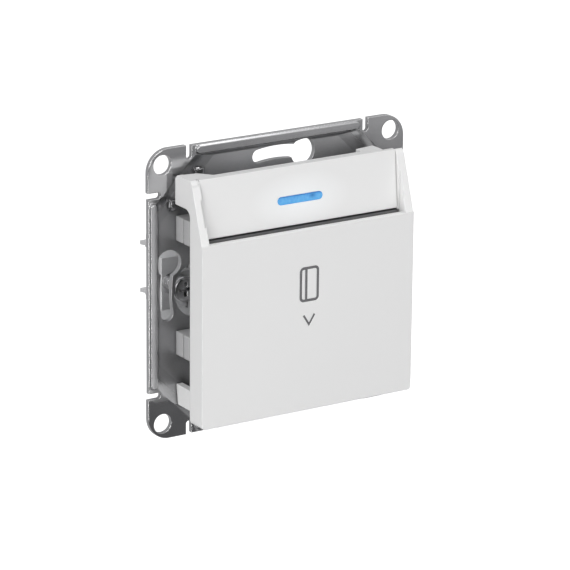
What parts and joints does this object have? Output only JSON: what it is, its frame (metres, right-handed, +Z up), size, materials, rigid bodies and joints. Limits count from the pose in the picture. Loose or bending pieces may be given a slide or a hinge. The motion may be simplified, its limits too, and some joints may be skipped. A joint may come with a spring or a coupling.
{
  "type": "hotel key card switch",
  "caption": "Flush-mounted key card switch insert with slanted lit panel, card slot, drawn steel support plate, spreading claws and cage terminals.",
  "frame": {"origin": "centre of the square of ear holes, on the wall-side face of the ears", "axes": "+X to the right as seen from the room, +Y into the wall, +Z up"},
  "size_m": [0.0702, 0.038, 0.0702],
  "materials": {
    "plate_steel": "zinc plated, semi-bright",
    "claw_steel": "zinc plated, bright",
    "screw_steel": "zinc plated, bright",
    "cover_white": "satin",
    "panel_white": "satin",
    "lens_blue": "lit from behind",
    "symbol_grey": "matte",
    "chassis_grey": "satin",
    "guide_grey": "satin",
    "housing_grey": "satin",
    "lever_white": "satin",
    "brass": "bright",
    "contact_silver": "bright",
    "spring_steel": "bright",
    "board_green": "lacquered",
    "led_clear": "clear",
    "resistor_body": "lacquered",
    "diode_body": "satin",
    "lead_copper": "tinned"
  },
  "bodies": {
    "insert": {"mounting_plate": "plate_steel", "front_cover": "cover_white", "slot_panel": "panel_white", "indicator_lens": "lens_blue", "pictogram_inlay": "symbol_grey", "chassis": "chassis_grey", "card_guide": "guide_grey", "guide_screws": "screw_steel", "lever_pin": "screw_steel", "housing_lid": "housing_grey", "base_housing": "housing_grey", "chassis_screws": "screw_steel", "line_strip": "brass", "load_strip": "brass", "neutral_strip": "brass", "arm_pin": "screw_steel", "fixed_contact_tip": "contact_silver", "led_board": "board_green", "indicator_led": "led_clear", "led_resistor": "resistor_body", "led_diode": "diode_body", "led_leads": "lead_copper"},
    "card_lever": {"card_lever": "lever_white", "lever_spring": "spring_steel"},
    "plunger": {"plunger": "lever_white"},
    "contact_arm": {"contact_arm": "brass", "arm_contact_tip": "contact_silver", "contact_spring": "spring_steel"},
    "claw_screw_left": {"claw_screw_left": "screw_steel"},
    "claw_nut_left": {"claw_nut_left": "claw_steel"},
    "claw_left": {"claw_left": "claw_steel"},
    "claw_screw_right": {"claw_screw_right": "screw_steel"},
    "claw_nut_right": {"claw_nut_right": "claw_steel"},
    "claw_right": {"claw_right": "claw_steel"},
    "line_screw": {"line_screw": "screw_steel"},
    "line_cage": {"line_cage": "claw_steel"},
    "load_screw": {"load_screw": "screw_steel"},
    "load_cage": {"load_cage": "claw_steel"},
    "neutral_screw": {"neutral_screw": "screw_steel"},
    "neutral_cage": {"neutral_cage": "claw_steel"}
  },
  "joints": [
    {"name": "card_lever_hinge", "type": "hinge", "parent": "insert", "child": "card_lever", "pos_m": [0, -0.0074, 0.0086], "axis": [1, 0, 0], "range_deg": [0, 7.8], "stiffness_Nm_per_rad": 0.012, "springref_deg": -6.88, "deforming": ["lever_spring"]},
    {"name": "plunger_slide", "type": "slide", "parent": "insert", "child": "plunger", "axis": [0, 1, 0], "range_m": [0, 0.000895]},
    {"name": "contact_arm_hinge", "type": "hinge", "parent": "insert", "child": "contact_arm", "pos_m": [0, 0.0084, 0.012], "axis": [1, 0, 0], "range_deg": [0, 5.2], "stiffness_Nm_per_rad": 0.004, "springref_deg": -5.73, "deforming": ["contact_spring"]},
    {"name": "claw_screw_left_turn", "type": "hinge", "parent": "insert", "child": "claw_screw_left", "pos_m": [-0.0242, 0.0027, 0], "axis": [0, 1, 0], "range_deg": [0, 622]},
    {"name": "claw_nut_left_slide", "type": "slide", "parent": "insert", "child": "claw_nut_left", "axis": [0, -1, 0], "range_m": [0, 0.00121]},
    {"name": "claw_left_hinge", "type": "hinge", "parent": "insert", "child": "claw_left", "pos_m": [-0.0203, 0.0069, 0], "axis": [0, 0, 1], "range_deg": [0, 20.1]},
    {"name": "claw_screw_right_turn", "type": "hinge", "parent": "insert", "child": "claw_screw_right", "pos_m": [0.0242, 0.0027, 0], "axis": [0, 1, 0], "range_deg": [0, 622]},
    {"name": "claw_nut_right_slide", "type": "slide", "parent": "insert", "child": "claw_nut_right", "axis": [0, -1, 0], "range_m": [0, 0.00121]},
    {"name": "claw_right_hinge", "type": "hinge", "parent": "insert", "child": "claw_right", "pos_m": [0.0203, 0.0069, 0], "axis": [0, 0, -1], "range_deg": [0, 20.1]},
    {"name": "line_screw_turn", "type": "hinge", "parent": "insert", "child": "line_screw", "pos_m": [-0.0104, 0.0173, -0.0194], "axis": [0, 0, 1], "range_deg": [0, 1080]},
    {"name": "line_cage_slide", "type": "slide", "parent": "insert", "child": "line_cage", "axis": [0, 0, -1], "range_m": [0, 0.0021]},
    {"name": "load_screw_turn", "type": "hinge", "parent": "insert", "child": "load_screw", "pos_m": [0, 0.0173, -0.0194], "axis": [0, 0, 1], "range_deg": [0, 1080]},
    {"name": "load_cage_slide", "type": "slide", "parent": "insert", "child": "load_cage", "axis": [0, 0, -1], "range_m": [0, 0.0021]},
    {"name": "neutral_screw_turn", "type": "hinge", "parent": "insert", "child": "neutral_screw", "pos_m": [0.0104, 0.0173, -0.0194], "axis": [0, 0, 1], "range_deg": [0, 1080]},
    {"name": "neutral_cage_slide", "type": "slide", "parent": "insert", "child": "neutral_cage", "axis": [0, 0, -1], "range_m": [0, 0.0021]}
  ],
  "couplings": [
    {"joint": "card_lever_hinge", "follows": "plunger_slide", "rad_per_m": 151.5},
    {"joint": "contact_arm_hinge", "follows": "plunger_slide", "rad_per_m": 100},
    {"joint": "claw_screw_left_turn", "follows": "claw_nut_left_slide", "rad_per_m": 8976},
    {"joint": "claw_left_hinge", "follows": "claw_nut_left_slide", "rad_per_m": 289},
    {"joint": "claw_screw_right_turn", "follows": "claw_nut_right_slide", "rad_per_m": 8976},
    {"joint": "claw_right_hinge", "follows": "claw_nut_right_slide", "rad_per_m": 289},
    {"joint": "line_screw_turn", "follows": "line_cage_slide", "rad_per_m": 8976},
    {"joint": "load_screw_turn", "follows": "load_cage_slide", "rad_per_m": 8976},
    {"joint": "neutral_screw_turn", "follows": "neutral_cage_slide", "rad_per_m": 8976}
  ]
}
